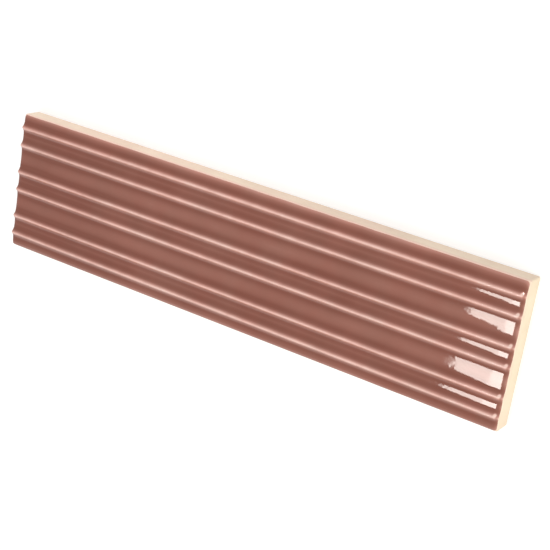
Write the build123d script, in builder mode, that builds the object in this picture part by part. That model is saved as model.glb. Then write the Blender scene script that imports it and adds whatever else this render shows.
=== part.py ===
"""Fluted ceramic wall tile, pressed and fired as one piece.

The long face carries pairs of slim rounded ribs with shallow hollow flutes
between them. All four edges of that face roll down a little, the back has a
small bevel all round and a grid of shallow keying recesses for the adhesive.

Frame: millimetres, +X along the tile, +Y across it, +Z out of the ribbed face.
The origin is the middle of the back, which lies on the XY plane.
"""
import os
from math import cos, radians, sin, tan

from build123d import *

# Format
tile_length = 300.0
tile_width = 75.0
foot_level = 11.4  # back to the feet of the ribs
corner_radius = 0.8  # upright corners of the outline

# Ribs, in pairs
rib_height = 1.35  # crest above the feet of its flanks
narrow_pitch = 9.9  # crest to crest inside a pair
wide_pitch = 15.2  # crest to crest from one pair to the next
flank_angle = 45.0  # slope of a rib's flank, in degrees
crest_radius = 0.75
foot_radius = 4.0
flute_sag = 0.2  # depth of the hollow between two ribs
border_slope = 4.0  # fall of the border outside the ribs, in degrees
border_land = 0.2  # plain strip kept between the outermost foot and the rim

# Rolled-down rim of the face, ending in a tighter arris
rim_radius = 8.0
rim_angle = 20.0  # slope where the roll meets the arris, in degrees
arris_radius = 0.5
arris_angle = 75.0  # slope where the arris meets the side, in degrees

# Back
back_bevel = 0.3
key_size = 8.8  # side of a keying recess at the back
key_land = 2.2  # wall between two recesses
key_margin = 4.5  # the grid stays at least this far from the edge
key_depth = 0.8
key_draft = 30.0  # slope of a recess's walls, in degrees from upright


def rim_run(slope):
    """How far the rim reaches in from the outline, where the face already falls by slope."""
    roll = rim_radius * (sin(radians(rim_angle)) - sin(radians(slope)))
    return roll + arris_radius * (sin(radians(arris_angle)) - sin(radians(rim_angle)))


# Levels and places that follow from those sizes
crest_level = foot_level + rib_height
apex_level = crest_level + crest_radius * (1 / cos(radians(flank_angle)) - 1)
half_base = (apex_level - foot_level) / tan(radians(flank_angle))
foot_reach = foot_radius * tan(radians((flank_angle - border_slope) / 2))
least_border = rim_run(border_slope) + half_base + foot_reach + border_land
pair_pitch = narrow_pitch + wide_pitch
pair_count = int((tile_width - 2 * least_border + wide_pitch) // pair_pitch)
first_pair = -(pair_count - 1) / 2 * pair_pitch
crests = [
    first_pair + pair * pair_pitch + side * narrow_pitch / 2
    for pair in range(pair_count)
    for side in (-1, 1)
]
edge = tile_width / 2
end = tile_length / 2
spare = rim_radius / 4  # more than the face falls at the ends
key_pitch = key_size + key_land
key_columns = int((tile_length - 2 * key_margin + key_land) // key_pitch)
key_rows = int((tile_width - 2 * key_margin + key_land) // key_pitch)


def rim_line(start, outward, slope):
    """Draw the rim outward from start, where the face falls by slope; return its lowest point."""
    heading = Vector(outward * cos(radians(slope)), -sin(radians(slope)))
    roll = JernArc(start, heading, rim_radius, outward * (slope - rim_angle))
    arris = JernArc(roll @ 1, roll % 1, arris_radius, outward * (rim_angle - arris_angle))
    return arris @ 1


border_width = edge - rim_run(border_slope) - (crests[-1] + half_base)
border_level = foot_level - border_width * tan(radians(border_slope))

# The section stands across the tile at its middle. It reaches below the back,
# because the sweep along the rail dips at the end and is trimmed level later.
with BuildSketch(Plane.YZ) as section:
    with BuildLine():
        start = Vector(edge - rim_run(border_slope), border_level)
        right_low = rim_line(start, 1, border_slope)
        for number, crest in enumerate(reversed(crests)):
            near_foot = Vector(crest + half_base, foot_level)
            if number == 0:
                Line(start, near_foot)
            else:
                hollow = Vector((start.X + near_foot.X) / 2, foot_level - flute_sag)
                ThreePointArc(start, hollow, near_foot)
            start = Vector(crest - half_base, foot_level)
            Polyline(near_foot, (crest, apex_level), start)
        left_start = Vector(rim_run(border_slope) - edge, border_level)
        Line(start, left_start)
        left_low = rim_line(left_start, -1, border_slope)
        Polyline(left_low, (-edge, -spare), (edge, -spare), right_low)
    make_face()
    rib_corners = section.vertices().filter_by_position(
        Axis.Y, foot_level - flute_sag / 2, apex_level
    )
    fillet(rib_corners.group_by(Axis.Y)[-1], crest_radius)
    feet = [
        corner
        for corner in section.vertices().filter_by_position(
            Axis.Y, foot_level - flute_sag / 2, foot_level + flute_sag / 2
        )
        if abs(corner.X) < abs(crests[0]) + 2 * half_base
    ]
    fillet(feet, foot_radius)

with BuildPart() as tile:
    # Half of the body, from the middle to the end, then its mirror image.
    with BuildLine(Plane.XZ) as rail:
        along = Line((0, 0), (end - rim_run(0), 0))
        rim_line(along @ 1, 1, 0)
    sweep(section.sketch, path=rail.wires()[0], normal=Vector(1, 0, 0))
    mirror(about=Plane.YZ)

    # The outline, which also trims the back level.
    with BuildSketch():
        RectangleRounded(tile_length, tile_width, corner_radius)
    extrude(amount=2 * crest_level, mode=Mode.INTERSECT)
    chamfer(tile.edges().group_by(Axis.Z)[0], back_bevel)

    # Keying recesses in the back, each narrowing inward.
    with BuildSketch():
        with GridLocations(key_pitch, key_pitch, key_columns, key_rows):
            Rectangle(key_size, key_size)
    extrude(amount=key_depth, taper=key_draft, mode=Mode.SUBTRACT)

tile.part.label = "tile"
os.makedirs("parts", exist_ok=True)
export_step(tile.part, "parts/tile.step")
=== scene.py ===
"""Looks for the fluted wall tile: a fired biscuit body and its glossy glaze.

The tile lies flat on a white floor. Lengths named with _MM are millimetres,
everything given to Blender is in metres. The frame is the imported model's:
+X along the ribs, +Y across them, +Z out of the glazed face.
"""

import math

import bpy
import numpy as np
from mathutils import Matrix, Vector


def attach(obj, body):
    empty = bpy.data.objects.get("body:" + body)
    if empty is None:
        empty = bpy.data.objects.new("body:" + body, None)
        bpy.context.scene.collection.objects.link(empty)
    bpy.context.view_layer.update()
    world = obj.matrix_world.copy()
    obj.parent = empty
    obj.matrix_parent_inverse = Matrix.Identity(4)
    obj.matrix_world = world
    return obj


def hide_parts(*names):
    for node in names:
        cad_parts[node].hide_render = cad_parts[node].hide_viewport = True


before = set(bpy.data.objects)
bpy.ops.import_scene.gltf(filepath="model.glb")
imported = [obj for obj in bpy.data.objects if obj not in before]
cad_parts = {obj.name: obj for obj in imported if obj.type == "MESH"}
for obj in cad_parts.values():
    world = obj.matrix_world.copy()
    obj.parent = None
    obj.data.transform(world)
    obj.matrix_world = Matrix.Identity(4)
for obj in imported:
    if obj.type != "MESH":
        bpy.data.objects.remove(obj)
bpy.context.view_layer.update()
MM = 0.001

# Sizes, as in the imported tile
LENGTH_MM, WIDTH_MM = 300.0, 75.0
FOOT_MM = 11.4
RIB_MM = 1.35
NARROW_MM, WIDE_MM = 9.9, 15.2
FLANK = math.radians(45.0)
CREST_R_MM, FOOT_R_MM = 0.75, 4.0
SAG_MM = 0.2
BORDER = math.radians(4.0)
RIM_R_MM, RIM_TO = 8.0, math.radians(20.0)
ARRIS_R_MM, ARRIS_TO = 0.5, math.radians(75.0)

APEX_MM = FOOT_MM + RIB_MM + CREST_R_MM * (1 / math.cos(FLANK) - 1)
HALF_BASE_MM = (APEX_MM - FOOT_MM) / math.tan(FLANK)
ARRIS_RUN_MM = ARRIS_R_MM * (math.sin(ARRIS_TO) - math.sin(RIM_TO))
PAIR_MM = NARROW_MM + WIDE_MM
PAIR_MIDDLES_MM = [pair * PAIR_MM for pair in (-1, 0, 1)]
CRESTS_MM = [middle + side * NARROW_MM / 2 for middle in PAIR_MIDDLES_MM for side in (-1, 1)]
SECTION_STEP_MM = 0.02
BALL_SHARE = 0.9  # how much of its half width the ball that fills the feet touches with

# The glaze coat
# Bare rim between the glaze line and the tile's outline, on each of the four sides.
BARE_LEFT_MM, BARE_RIGHT_MM, BARE_NEAR_MM, BARE_FAR_MM = 0.30, 0.60, 0.15, 0.42
LEFT_MM, RIGHT_MM = BARE_LEFT_MM - LENGTH_MM / 2, LENGTH_MM / 2 - BARE_RIGHT_MM
NEAR_MM, FAR_MM = BARE_NEAR_MM - WIDTH_MM / 2, WIDTH_MM / 2 - BARE_FAR_MM
COAT_MM = 0.18  # thickness over the body
COAT_DEPTH = 1.6  # how far the coat reaches down into the body, in thicknesses
CORNER_MM = 1.6
EDGE_ROUND_MM = 0.35
# The glaze line wanders by this much, which fades out this far in from it.
LINE_WANDER_MM, LINE_REACH_MM = 0.06, 4.0
LINES_APART_MM = 40.0  # keeps the waves of opposite glaze lines apart
# At the right end the glaze runs further out over a crest, by this, this wide, over this reach.
CREST_PUSH_MM, CREST_PUSH_WIDE_MM, CREST_PUSH_REACH_MM = 0.35, 1.2, 2.0
# Gentle unevenness of the fired surface, mostly below the plain face.
RELIEF_MM, RELIEF_LOWERED = 0.018, 1.2
# The glaze falls away very gently towards the right end, from here and by this curve.
END_FALL_FROM_MM, END_FALL_CURVE = 139.5, 0.00057

# Grid of the coat: runs of (distance in from the glaze line, step up to there).
SIDE_STEPS_MM = [(0.1, 0.05), (EDGE_ROUND_MM, 0.12), (3.2, 0.24)]
END_STEPS_MM = SIDE_STEPS_MM + [(6.0, 0.7)]
ALONG_STEP_MM, FLUTE_STEP_MM, RIB_STEP_MM = 2.4, 0.65, 0.18
STEP_SLACK = 1e-6  # keeps rounding from adding a grid line
RIB_REACH_MM = 2.4  # the grid is fine this far to each side of a crest

# Film thickness as a share of the thickest: pooled at the feet of the ribs, level in the
# middle of a wide flute, thin over the crests and along the glaze line. It also carries
# painted shade towards the left end, painted sheen in the crests' lean and painted glints.
POOL_FILM, PLAIN_FILM, CREST_FILM = 0.95, 0.70, 0.15
POOL_AT_MM, POOL_FADE_MM = 2.8, 2.4
# The narrow flutes are pooled a little less, from this far inside their crests.
NARROW_EASE, NARROW_FADE_MM = 0.035, 3.4
# The pale band over the crests is thin glaze; its lean towards -Y, where the crests catch more
# reflected light, is painted sheen.
CREST_REACH_MM, CREST_AND_SHEEN_LEAN_MM = 1.45, -0.17
# At the right end the crests are coated more, from this far in, over this run and down to
# this share of thinning.
CREST_ENDS_FROM_MM, CREST_ENDS_MM, CREST_ENDS_SHARE = 0.6, 1.5, 0.42
# A pale spot where each rib bends down at the right end: partly thinner glaze, partly a painted
# glint standing in for bright dots of reflected light.
GLINT_SPOT_X_MM, GLINT_SPOT_BESIDE_MM, GLINT_SPOT_R_MM, THIN_GLAZE_AND_GLINT_SPOT = 147.7, 0.85, 0.72, 0.80
# How much thinner the film is at the glaze line and how far in that reaches.
THIN_NEAR, THIN_FAR, THIN_RIGHT = 0.10, 0.28, 0.30
THIN_SIDE_MM, THIN_END_MM = 1.6, 0.95
# Painted shade: the film is a little thicker, so the glaze darker, towards the left end, from
# here over this run, where the light falls off.
PAINTED_SHADE_LEFT, PAINTED_SHADE_LEFT_FROM_MM, PAINTED_SHADE_LEFT_RUN_MM = 0.068, -60.0, 60.0
# Shares of the film that vary: broad and fine breaks along the crests, and a slow drift.
BREAK_BROAD, BREAK_FINE, FILM_DRIFT = 0.05, 0.04, 0.025

# Seeded waves: seed, then how long they are along and across the tile, in millimetres.
END_LINE_WAVES = (11, 23, 9)
SIDE_LINE_WAVES = (12, 17, 23)
RELIEF_WAVES = (85, 70, 16)  # this seed bends the highlights much as the photo shows them
DRIFT_WAVES = (31, 60, 12)
BROAD_WAVES = (32, 7, 5)
FINE_WAVES = (33, 2.2, 1.6)
WAVE_COUNT, WAVE_LEVEL = 7, 1.5  # how many waves cross, and what brings them to about 1


def rim_run(slope):
    """How far the rim reaches in from the outline where the face already falls by slope."""
    return RIM_R_MM * (math.sin(RIM_TO) - math.sin(slope)) + ARRIS_RUN_MM


def rim_drop(inside, slope):
    """How far the face has fallen over the rim at a distance inside the outline."""
    run = np.clip(rim_run(slope) - np.asarray(inside, float), 0, None)
    roll_from, roll_to = RIM_R_MM * math.sin(slope), RIM_R_MM * math.sin(RIM_TO)
    along = np.clip(run + roll_from, roll_from, roll_to)
    roll = RIM_R_MM * math.cos(slope) - np.sqrt(RIM_R_MM**2 - along**2)
    past = np.clip(run + roll_from - roll_to, 0, ARRIS_RUN_MM)
    reach = past + ARRIS_R_MM * math.sin(RIM_TO)
    arris = ARRIS_R_MM * math.cos(RIM_TO) - np.sqrt(ARRIS_R_MM**2 - reach**2)
    return roll + arris


def roll_ball(heights, step, radius):
    """Fill the concave corners of a height line as a ball of that radius would leave them."""
    reach = int(radius * BALL_SHARE / step)
    offsets = np.arange(-reach, reach + 1)
    ball = np.sqrt(radius**2 - (offsets * step) ** 2)
    padded = np.pad(heights, reach, mode="edge")
    lifted = np.max([padded[i : i + len(heights)] + b for i, b in enumerate(ball)], axis=0)
    padded = np.pad(lifted, reach, mode="edge")
    return np.min([padded[i : i + len(heights)] - b for i, b in enumerate(ball)], axis=0)


section_y = np.arange(-WIDTH_MM / 2, WIDTH_MM / 2 + SECTION_STEP_MM / 2, SECTION_STEP_MM)


def make_section():
    """The level face across the tile: flutes, ribs with rounded crests and filled feet."""
    height = np.full_like(section_y, FOOT_MM)
    for left, right in zip(CRESTS_MM, CRESTS_MM[1:]):
        middle, half = (left + right) / 2, (right - left) / 2 - HALF_BASE_MM
        hollow = SAG_MM * (1 - ((section_y - middle) / half) ** 2)
        height -= np.where(np.abs(section_y - middle) < half, hollow, 0)
    for crest in CRESTS_MM:
        away = np.abs(section_y - crest)
        flank = APEX_MM - away * math.tan(FLANK)
        round_top = np.sqrt(np.clip(CREST_R_MM**2 - away**2, 0, None))
        cap = FOOT_MM + RIB_MM - CREST_R_MM + round_top
        rib = np.where(away < CREST_R_MM * math.sin(FLANK), cap, flank)
        height = np.maximum(height, rib)
    border_from = CRESTS_MM[-1] + HALF_BASE_MM
    rim_from = WIDTH_MM / 2 - rim_run(BORDER)
    past = np.clip(np.abs(section_y), border_from, rim_from) - border_from
    height -= past * math.tan(BORDER)
    return roll_ball(height, SECTION_STEP_MM, FOOT_R_MM)


section_z = make_section()


def face_height(x, y):
    """Height of the tile's face at x, y, all in millimetres."""
    across = np.interp(y, section_y, section_z)
    sides = rim_drop(WIDTH_MM / 2 - np.abs(y), BORDER)
    ends = rim_drop(LENGTH_MM / 2 - np.abs(x), 0.0)
    return across - sides - ends


def smooth(value):
    """0 below 0, 1 above 1 and a soft step between."""
    value = np.clip(value, 0, 1)
    return value * value * (3 - 2 * value)


def waves(x, y, seed, scale_x, scale_y):
    """Soft seeded unevenness between about -1 and 1, from a few crossing waves."""
    dice = np.random.RandomState(seed)
    total = np.zeros(np.broadcast(x, y).shape)
    for _ in range(WAVE_COUNT):
        a, b = dice.uniform(-1, 1, 2)
        total += np.sin(2 * math.pi * (a * x / scale_x + b * y / scale_y + dice.uniform()))
    return total / math.sqrt(WAVE_COUNT) / WAVE_LEVEL


def away_from_crest(y, lean=0.0):
    """Distance from y to the nearest crest, or to a line beside it by lean."""
    return np.min([np.abs(y - crest - lean) for crest in CRESTS_MM], axis=0)


def spaced(stops):
    """Grid lines from a list of (end, step) runs that start at the first number."""
    lines = [stops[0]]
    for finish, step in stops[1:]:
        count = max(1, math.ceil((finish - lines[-1]) / step - STEP_SLACK))
        lines += list(np.linspace(lines[-1], finish, count + 1)[1:])
    return np.array(lines)


def lines_from(edge, steps, more=()):
    """Grid lines inward from a glaze line."""
    return spaced([edge] + [(edge + inside, step) for inside, step in steps] + list(more))


def coat_lines():
    """Grid lines of the coat along and across the tile, close together at edges and ribs."""
    to_middle = [(0, ALONG_STEP_MM)]
    left = lines_from(LEFT_MM, END_STEPS_MM, to_middle)
    right = lines_from(-RIGHT_MM, END_STEPS_MM, to_middle)
    near = lines_from(NEAR_MM, SIDE_STEPS_MM)
    far = lines_from(-FAR_MM, SIDE_STEPS_MM)
    ribs = [near[-1]]
    for crest in CRESTS_MM:
        ribs += [(crest - RIB_REACH_MM, FLUTE_STEP_MM), (crest + RIB_REACH_MM, RIB_STEP_MM)]
    middle = spaced(ribs + [(-far[-1], FLUTE_STEP_MM)])
    along = np.concatenate([left, -right[-2::-1]])
    across = np.concatenate([near, middle[1:], -far[-2::-1]])
    return along, across


def follow_glaze_line(x, y, from_end, from_side):
    """Grid points moved so that the glaze line has round corners and wanders a little."""
    u = np.clip(1 - from_end / CORNER_MM, 0, 1)
    v = np.clip(1 - from_side / CORNER_MM, 0, 1)
    px = x - np.sign(x) * CORNER_MM * u * (1 - np.sqrt(1 - v * v / 2))
    py = y - np.sign(y) * CORNER_MM * v * (1 - np.sqrt(1 - u * u / 2))
    near_end = smooth(1 - from_end / LINE_REACH_MM)
    near_side = smooth(1 - from_side / LINE_REACH_MM)
    over_rib = np.exp(-((away_from_crest(py) / CREST_PUSH_WIDE_MM) ** 2))
    at_right = np.where(x > 0, smooth(1 - from_end / CREST_PUSH_REACH_MM), 0)
    px = px + CREST_PUSH_MM * over_rib * at_right
    end_waves = waves(np.sign(x) * LINES_APART_MM, py, *END_LINE_WAVES)
    px = px + LINE_WANDER_MM * end_waves * near_end
    side_waves = waves(px, np.sign(y) * LINES_APART_MM, *SIDE_LINE_WAVES)
    py = py + LINE_WANDER_MM * side_waves * near_side
    return px, py


def glaze_film(x, y):
    """How thick the glaze looks at x, y in millimetres, from 0 to 1, with painted shade towards
    the left end, painted sheen in the crests' lean and painted glints at the rib ends.
    """
    pooled = np.exp(-((np.clip(away_from_crest(y) - POOL_AT_MM, 0, None) / POOL_FADE_MM) ** 2))
    film = PLAIN_FILM + (POOL_FILM - PLAIN_FILM) * pooled
    from_middle = np.min([np.abs(y - middle) for middle in PAIR_MIDDLES_MM], axis=0)
    film -= NARROW_EASE * pooled**2 * smooth((NARROW_MM / 2 - from_middle) / NARROW_FADE_MM)
    past_ends = smooth((RIGHT_MM - x - CREST_ENDS_FROM_MM) / CREST_ENDS_MM)
    bared = CREST_ENDS_SHARE + (1 - CREST_ENDS_SHARE) * past_ends
    # thin glaze over the crests, its lean painting in the sheen on their -Y side
    band = np.exp(-((away_from_crest(y, CREST_AND_SHEEN_LEAN_MM) / CREST_REACH_MM) ** 2))
    broken = 1 + BREAK_BROAD * waves(x, y, *BROAD_WAVES) + BREAK_FINE * waves(x, y, *FINE_WAVES)
    film -= (POOL_FILM - CREST_FILM) * bared * band * broken
    # painted glint: a pale spot at each rib's right end, partly thinner glaze
    glint_spot_away = away_from_crest(y, GLINT_SPOT_BESIDE_MM)
    film -= THIN_GLAZE_AND_GLINT_SPOT * np.exp(-((glint_spot_away**2 + (x - GLINT_SPOT_X_MM) ** 2) / GLINT_SPOT_R_MM**2))
    film -= THIN_NEAR * np.exp(-(y - NEAR_MM) / THIN_SIDE_MM)
    film -= THIN_FAR * np.exp(-(FAR_MM - y) / THIN_SIDE_MM)
    film -= THIN_RIGHT * np.exp(-(RIGHT_MM - x) / THIN_END_MM)
    # painted shade: darker glaze towards the left end
    film += PAINTED_SHADE_LEFT * smooth((PAINTED_SHADE_LEFT_FROM_MM - x) / PAINTED_SHADE_LEFT_RUN_MM)
    film += FILM_DRIFT * waves(x, y, *DRIFT_WAVES)
    return np.clip(film, 0, 1)


def make_coat():
    """The glaze: a thin closed coat over the face, with its film thickness as an attribute,
    painted shade, sheen and glints included.
    """
    xs, ys = coat_lines()
    gx, gy = np.meshgrid(xs, ys, indexing="ij")
    from_end = np.minimum(gx - LEFT_MM, RIGHT_MM - gx)
    from_side = np.minimum(gy - NEAR_MM, FAR_MM - gy)
    inside = np.minimum(from_end, from_side)
    px, py = follow_glaze_line(gx, gy, from_end, from_side)

    level = face_height(px, py)
    relief = RELIEF_MM * (waves(px, py, *RELIEF_WAVES) - RELIEF_LOWERED)
    end_fall = END_FALL_CURVE * np.clip(px - END_FALL_FROM_MM, 0, None) ** 2
    edge = np.clip(inside / EDGE_ROUND_MM, 0, 1)
    skin = COAT_MM * (np.sqrt(1 - (1 - edge) ** 2) - 1)
    top = level + (relief - end_fall) * edge + skin
    bottom = level - COAT_DEPTH * COAT_MM

    rows, cols = gx.shape
    top_points = np.stack([px, py, top], -1).reshape(-1, 3)
    low_points = np.stack([px, py, bottom], -1).reshape(-1, 3)
    index = np.arange(rows * cols).reshape(rows, cols)
    a, b, c, d = index[:-1, :-1], index[1:, :-1], index[1:, 1:], index[:-1, 1:]
    top_faces = np.stack([a, b, c, d], -1).reshape(-1, 4)
    low_faces = top_faces[:, ::-1] + rows * cols
    loop = np.concatenate([index[:-1, 0], index[-1, :-1], index[:0:-1, -1], index[0, :0:-1]])
    after = np.roll(loop, -1)
    skirt = np.stack([after, loop, loop + rows * cols, after + rows * cols], -1)
    mesh = bpy.data.meshes.new("tile_glaze")
    points = np.concatenate([top_points, low_points]) * MM
    faces = np.concatenate([top_faces, low_faces, skirt])
    mesh.from_pydata(points.tolist(), [], faces.tolist())
    mesh.polygons.foreach_set("use_smooth", [True] * len(faces))

    film = glaze_film(px, py)
    layer = mesh.attributes.new("film", "FLOAT", "POINT")
    layer.data.foreach_set("value", np.concatenate([film.ravel(), film.ravel()]))
    mesh.update()
    piece = bpy.data.objects.new("tile_glaze", mesh)
    bpy.context.scene.collection.objects.link(piece)
    return piece


# The biscuit body
FACE_ZONE_MM = 1.5  # points higher than this below the ribs' feet belong to the face


def make_body():
    """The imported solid's own shape, its face let down by the coat's thickness."""
    source = bpy.data.objects["tile"]
    mesh = source.data.copy()
    mesh.name = "tile_body"
    mesh.materials.clear()
    for vertex in mesh.vertices:
        if vertex.co.z > (FOOT_MM - FACE_ZONE_MM) * MM:
            vertex.co.z -= COAT_MM * MM
    piece = bpy.data.objects.new("tile_body", mesh)
    bpy.context.scene.collection.objects.link(piece)
    return piece


# Materials
MIX_A, MIX_B, MIX_COLOUR = 6, 7, 2  # the colour sockets of a Mix node


def srgb(red, green, blue):
    """A colour written as 0-255 screen values, turned into the linear values shaders take."""
    parts = [c / 255 for c in (red, green, blue)]
    return [c / 12.92 if c <= 0.04045 else ((c + 0.055) / 1.055) ** 2.4 for c in parts] + [1.0]


def new_material(name):
    """A material with nothing but a Principled shader, its node tree and that shader."""
    material = bpy.data.materials.new(name)
    material.use_nodes = True
    tree = material.node_tree
    tree.nodes.clear()
    shader = tree.nodes.new("ShaderNodeBsdfPrincipled")
    output = tree.nodes.new("ShaderNodeOutputMaterial")
    tree.links.new(shader.outputs["BSDF"], output.inputs["Surface"])
    return material, tree, shader


def add(tree, kind, **settings):
    """A new node with some of its properties set."""
    node = tree.nodes.new(kind)
    for key, value in settings.items():
        setattr(node, key, value)
    return node


def noise(tree, place, scale, detail):
    """Noise fixed to the object, scale in cells to the metre."""
    node = add(tree, "ShaderNodeTexNoise")
    node.inputs["Scale"].default_value = scale
    node.inputs["Detail"].default_value = detail
    tree.links.new(place.outputs["Object"], node.inputs["Vector"])
    return node.outputs["Fac"]


def remap(tree, value, source, target):
    """A value taken from one range to another and kept within it."""
    node = add(tree, "ShaderNodeMapRange")
    node.inputs["From Min"].default_value, node.inputs["From Max"].default_value = source
    node.inputs["To Min"].default_value, node.inputs["To Max"].default_value = target
    tree.links.new(value, node.inputs["Value"])
    return node.outputs["Result"]


def combine(tree, operation, *values):
    """A Math node over one or two values."""
    node = add(tree, "ShaderNodeMath", operation=operation)
    for socket, value in zip(node.inputs, values):
        tree.links.new(value, socket)
    return node.outputs["Value"]


def ramp(tree, value, stops):
    """A colour ramp with the given (place, colour) stops."""
    node = add(tree, "ShaderNodeValToRGB")
    elements = node.color_ramp.elements
    while len(elements) < len(stops):
        elements.new(0.5)
    for element, (place, colour) in zip(elements, stops):
        element.position = place
        element.color = colour
    tree.links.new(value, node.inputs["Fac"])
    return node.outputs["Color"]


def roughen(tree, shader, height, strength, distance_mm):
    """Bump of a shader's surface, for skin and grain too fine to model."""
    node = add(tree, "ShaderNodeBump")
    node.inputs["Strength"].default_value = strength
    node.inputs["Distance"].default_value = distance_mm * MM
    tree.links.new(height, node.inputs["Height"])
    tree.links.new(node.outputs["Normal"], shader.inputs["Normal"])


GLAZE_STOPS = [
    (0.0, srgb(242, 210, 200)),
    (0.18, srgb(234, 188, 177)),
    (0.45, srgb(189, 134, 121)),
    (0.70, srgb(150, 95, 81)),
    (0.95, srgb(127, 70, 54)),
]
GLAZE_ROUGHNESS, GLAZE_IOR = 0.03, 1.5
# Mottle moves the film thickness up and down by this share.
MOTTLE_SCALE, MOTTLE_DETAIL, MOTTLE_RANGE, MOTTLE_SHARE = 55.0, 3.0, (0.3, 0.7), 0.035
# A slow drift between a cooler and a ruddier hue.
HUE_SCALE, HUE_DETAIL = 70.0, 2.0
HUE_STOPS = [(0.35, (0.97, 1.0, 1.0, 1.0)), (0.65, (1.0, 0.96, 0.95, 1.0))]
# Waves of the fired skin.
RIPPLE_SCALE, RIPPLE_DETAIL, RIPPLE_STRENGTH, RIPPLE_MM = 210.0, 2.0, 1.0, 0.013


def glaze_material():
    """Glossy glaze whose colour follows the film thickness, painted shade, sheen and glints
    included.
    """
    material, tree, shader = new_material("glaze")
    film = add(tree, "ShaderNodeAttribute", attribute_name="film")
    place = add(tree, "ShaderNodeTexCoord")
    mottle = noise(tree, place, MOTTLE_SCALE, MOTTLE_DETAIL)
    spread = remap(tree, mottle, MOTTLE_RANGE, (-MOTTLE_SHARE, MOTTLE_SHARE))
    mixed = combine(tree, "ADD", film.outputs["Fac"], spread)
    colour = ramp(tree, mixed, GLAZE_STOPS)
    hue = ramp(tree, noise(tree, place, HUE_SCALE, HUE_DETAIL), HUE_STOPS)
    tinted = add(tree, "ShaderNodeMix", data_type="RGBA", blend_type="MULTIPLY")
    tinted.inputs["Factor"].default_value = 1.0
    tree.links.new(colour, tinted.inputs[MIX_A])
    tree.links.new(hue, tinted.inputs[MIX_B])
    tree.links.new(tinted.outputs[MIX_COLOUR], shader.inputs["Base Color"])
    ripple = noise(tree, place, RIPPLE_SCALE, RIPPLE_DETAIL)
    roughen(tree, shader, ripple, RIPPLE_STRENGTH, RIPPLE_MM)
    shader.inputs["Roughness"].default_value = GLAZE_ROUGHNESS
    shader.inputs["IOR"].default_value = GLAZE_IOR
    return material


BISCUIT = srgb(247, 228, 207)
BISCUIT_DARK = srgb(238, 217, 196)
BISCUIT_PINK = srgb(238, 200, 188)
BISCUIT_ROUGHNESS, BISCUIT_SPECULAR = 0.85, 0.3
CLOUD_SCALE, CLOUD_DETAIL = 60.0, 5.0
CLOUD_STOPS = [(0.3, BISCUIT_DARK), (0.7, BISCUIT)]
# The blush under the arris: how far below the ribs' feet it starts and is full, and its share.
BLUSH_FROM_MM, BLUSH_FULL_MM, BLUSH_SHARE = 3.2, 0.4, 0.9
# Away from the long sides only this share of it is left, over this band in from the outline.
BLUSH_REST, BLUSH_BAND_MM = 0.3, (0.8, 0.2)
# Pink patches elsewhere.
FLUSH_SCALE, FLUSH_DETAIL, FLUSH_RANGE, FLUSH_SHARE = 17.0, 1.0, (0.42, 0.62), 0.2
GRAIN_SCALE, GRAIN_DETAIL, GRAIN_STRENGTH, GRAIN_MM = 2200.0, 4.0, 0.25, 0.15


def biscuit_material():
    """Dry fired clay with a faint blush of glaze just under the arris."""
    material, tree, shader = new_material("biscuit")
    place = add(tree, "ShaderNodeTexCoord")
    clay = ramp(tree, noise(tree, place, CLOUD_SCALE, CLOUD_DETAIL), CLOUD_STOPS)

    apart = add(tree, "ShaderNodeSeparateXYZ")
    tree.links.new(place.outputs["Object"], apart.inputs["Vector"])
    blush_zone = ((FOOT_MM - BLUSH_FROM_MM) * MM, (FOOT_MM - BLUSH_FULL_MM) * MM)
    blush = remap(tree, apart.outputs["Z"], blush_zone, (0.0, BLUSH_SHARE))
    across = combine(tree, "ABSOLUTE", apart.outputs["Y"])
    side_zone = [(WIDTH_MM / 2 - inside) * MM for inside in BLUSH_BAND_MM]
    long_side = remap(tree, across, side_zone, (BLUSH_REST, 1.0))
    blushed = combine(tree, "MULTIPLY", blush, long_side)
    patch = noise(tree, place, FLUSH_SCALE, FLUSH_DETAIL)
    flush = remap(tree, patch, FLUSH_RANGE, (0.0, FLUSH_SHARE))
    pink = combine(tree, "MAXIMUM", blushed, flush)
    tint = add(tree, "ShaderNodeMix", data_type="RGBA")
    tree.links.new(pink, tint.inputs["Factor"])
    tree.links.new(clay, tint.inputs[MIX_A])
    tint.inputs[MIX_B].default_value = BISCUIT_PINK
    tree.links.new(tint.outputs[MIX_COLOUR], shader.inputs["Base Color"])

    grain = noise(tree, place, GRAIN_SCALE, GRAIN_DETAIL)
    roughen(tree, shader, grain, GRAIN_STRENGTH, GRAIN_MM)
    shader.inputs["Roughness"].default_value = BISCUIT_ROUGHNESS
    shader.inputs["Specular IOR Level"].default_value = BISCUIT_SPECULAR
    return material


body = make_body()
coat = make_coat()
body.data.materials.append(biscuit_material())
coat.data.materials.append(glaze_material())
for piece, slot in ((body, "biscuit"), (coat, "glaze")):
    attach(piece, "root")
    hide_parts("tile")

# Floor and world
WORLD_LIGHT = 0.928
FLOOR_HALF_M = 6.0
FLOOR_GLOW = 0.44
FLOOR_SHADE = 0.67


def white_to_lens(tree, dark, bright):
    """bright for camera, glossy and transmission rays, dark for the light on the tile."""
    path = add(tree, "ShaderNodeLightPath")
    first = combine(tree, "MAXIMUM", path.outputs["Is Camera Ray"], path.outputs["Is Glossy Ray"])
    both = combine(tree, "MAXIMUM", first, path.outputs["Is Transmission Ray"])
    return remap(tree, both, (0.0, 1.0), (dark, bright))


def make_world():
    """Even light from all around."""
    world = bpy.data.worlds.new("studio")
    world.use_nodes = True
    tree = world.node_tree
    tree.nodes.clear()
    back = add(tree, "ShaderNodeBackground")
    out = add(tree, "ShaderNodeOutputWorld")
    tree.links.new(back.outputs["Background"], out.inputs["Surface"])
    tree.links.new(white_to_lens(tree, WORLD_LIGHT, 1.0), back.inputs["Strength"])
    bpy.context.scene.world = world


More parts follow.
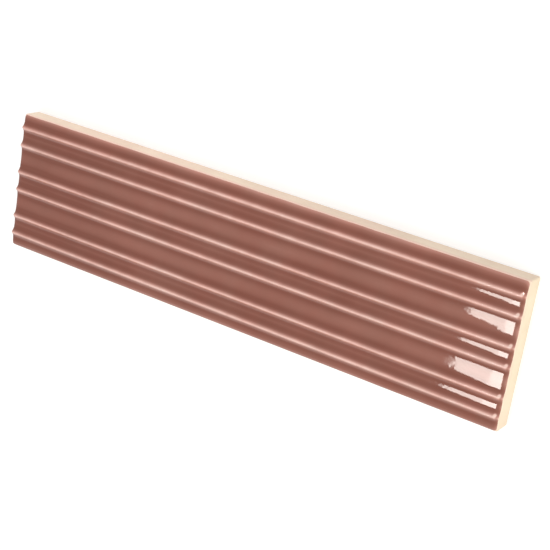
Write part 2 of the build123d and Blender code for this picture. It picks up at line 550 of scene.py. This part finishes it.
def make_floor():
    """A pale floor that keeps the tile's shadow and looks white to the lens."""
    half = FLOOR_HALF_M
    mesh = bpy.data.meshes.new("floor")
    corners = [(-half, -half, 0), (half, -half, 0), (half, half, 0), (-half, half, 0)]
    mesh.from_pydata(corners, [], [(0, 1, 2, 3)])
    floor = bpy.data.objects.new("floor", mesh)
    bpy.context.scene.collection.objects.link(floor)
    material = bpy.data.materials.new("floor_white")
    material.use_nodes = True
    tree = material.node_tree
    tree.nodes.clear()
    paint = add(tree, "ShaderNodeBsdfDiffuse")
    paint.inputs["Color"].default_value = (FLOOR_SHADE, FLOOR_SHADE, FLOOR_SHADE, 1)
    glow = add(tree, "ShaderNodeEmission")
    tree.links.new(white_to_lens(tree, 0.0, FLOOR_GLOW), glow.inputs["Strength"])
    both = add(tree, "ShaderNodeAddShader")
    out = add(tree, "ShaderNodeOutputMaterial")
    tree.links.new(paint.outputs["BSDF"], both.inputs[0])
    tree.links.new(glow.outputs["Emission"], both.inputs[1])
    tree.links.new(both.outputs["Shader"], out.inputs["Surface"])
    mesh.materials.append(material)


# Lamps
WHITE = (1.0, 1.0, 1.0)
WARM = (1.0, 0.94, 0.88)
KEY_WARM = (0.93, 1.0, 0.80)
FACE_M = 0.0114  # height of the face
RIGHT_END = (0.147, 0.0, FACE_M)
FAR_SIDE = (-0.092, 0.0375, 0.012)
SOFTBOX_WAY = (-0.277, -0.3725, 0.887)
SOFTBOX_AT_M, SHADES_AT_M = 2.5, 2.49
SOFTBOX_RADIANCE = 14.0
SOFTBOX_RIGHT = 0.06  # right edge, in metres in its own plane
# The softbox shows as long highlights in the flutes at the right end. One corner of it is cut
# in steps, which gives the highlights their slanting lower left edge.
# Its bands: lower, upper and left edge, in metres in its own plane.
SOFTBOX_STEPS = [
    (-0.205, 0.090, -0.184),
    (0.090, 0.110, -0.179),
    (0.110, 0.125, -0.162),
    (0.125, 0.140, -0.146),
    (0.140, 0.160, -0.130),
    (0.160, 0.180, -0.119),
    (0.180, 0.205, -0.112),
    (0.205, 0.240, -0.106),
]
# Its bright side, seen at the very ends of those highlights, and its dim left margin: name,
# left and right edge, lower and upper edge, and the radiance each one adds.
SOFTBOX_SHADES = [
    ("softbox_warm_side", -0.088, 0.060, -0.205, 0.240, 5.0),
    ("softbox_hot_side", -0.066, 0.060, -0.205, 0.240, 6.0),
    ("softbox_margin", -0.194, -0.184, -0.150, 0.050, 4.0),
]
# The other lamps: name, aim, direction, distance, size, radiance and colour.
PLAIN_LAMPS = [
    # A small lamp behind the tile, which glints where each rib bends down at the right end.
    ("end_glint", RIGHT_END, (-0.09, 0.74, 0.66), 2.5, (0.20, 0.24), 50.0, WARM),
    # A long pale panel in front of the tile, seen in the flanks that face it.
    ("front_panel", (0, 0, FACE_M), (-0.42, -0.80, 0.42), 2.5, (2.4, 1.1), 0.7, WHITE),
    # The key, near the right end, so that its light falls off along the tile.
    ("right_key", (0.15, 0, 0), (0.93, -0.18, 0.33), 1.1, (0.5, 0.5), 7.3, KEY_WARM),
    # A small low lamp, which lifts the left half of the far side.
    ("far_side", FAR_SIDE, (0, 1, 0), 0.18, (0.18, 0.024), 5.6, WHITE),
]


def area_light(name, aim, direction, distance, size, radiance, colour, shift=(0, 0)):
    """A soft rectangular lamp seen from aim along direction; radiance 1 mirrors as white.

    shift moves it in its own plane, in metres to the right and up.
    """
    towards = Vector(direction).normalized()
    side = Vector((1, 0, 0))
    side = (side - towards * side.dot(towards)).normalized()
    up = towards.cross(side)
    data = bpy.data.lights.new(name, "AREA")
    data.shape = "RECTANGLE"
    data.size, data.size_y = size
    data.energy = radiance * math.pi * size[0] * size[1]
    data.color = colour
    place = Vector(aim) + towards * distance + side * shift[0] + up * shift[1]
    turn = Matrix((side, up, towards)).transposed()
    lamp = bpy.data.objects.new(name, data)
    lamp.matrix_world = Matrix.Translation(place) @ turn.to_4x4()
    bpy.context.scene.collection.objects.link(lamp)


def softbox_part(name, distance, left, right, low, high, radiance):
    """One rectangle of the softbox, by its edges in the softbox's plane."""
    size = (right - left, high - low)
    shift = ((right + left) / 2, (low + high) / 2)
    area_light(name, RIGHT_END, SOFTBOX_WAY, distance, size, radiance, WARM, shift)


def make_lamps():
    """The softbox in bands, its shades just before it, then the plain lamps."""
    for number, (low, high, left) in enumerate(SOFTBOX_STEPS):
        edges = (left, SOFTBOX_RIGHT, low, high)
        softbox_part(f"softbox_{number}", SOFTBOX_AT_M, *edges, SOFTBOX_RADIANCE)
    for name, *edges, radiance in SOFTBOX_SHADES:
        softbox_part(name, SHADES_AT_M, *edges, radiance)
    for lamp in PLAIN_LAMPS:
        area_light(*lamp)


# Camera
CAMERA_PLACE = (0.34858, 0.229879, 0.593758)
CAMERA_TURN = (-13.6484, 32.07532, 10.5807)
LENS_MM, SENSOR_MM = 93.399, 36.0


def make_camera():
    """The photo's view of the tile."""
    data = bpy.data.cameras.new("camera")
    data.lens = LENS_MM
    data.sensor_width = SENSOR_MM
    data.sensor_fit = "HORIZONTAL"
    camera = bpy.data.objects.new("camera", data)
    camera.location = CAMERA_PLACE
    camera.rotation_euler = [math.radians(angle) for angle in CAMERA_TURN]
    bpy.context.scene.collection.objects.link(camera)
    bpy.context.scene.camera = camera


make_world()
make_floor()
make_lamps()
make_camera()
bpy.context.scene.view_settings.view_transform = "Standard"
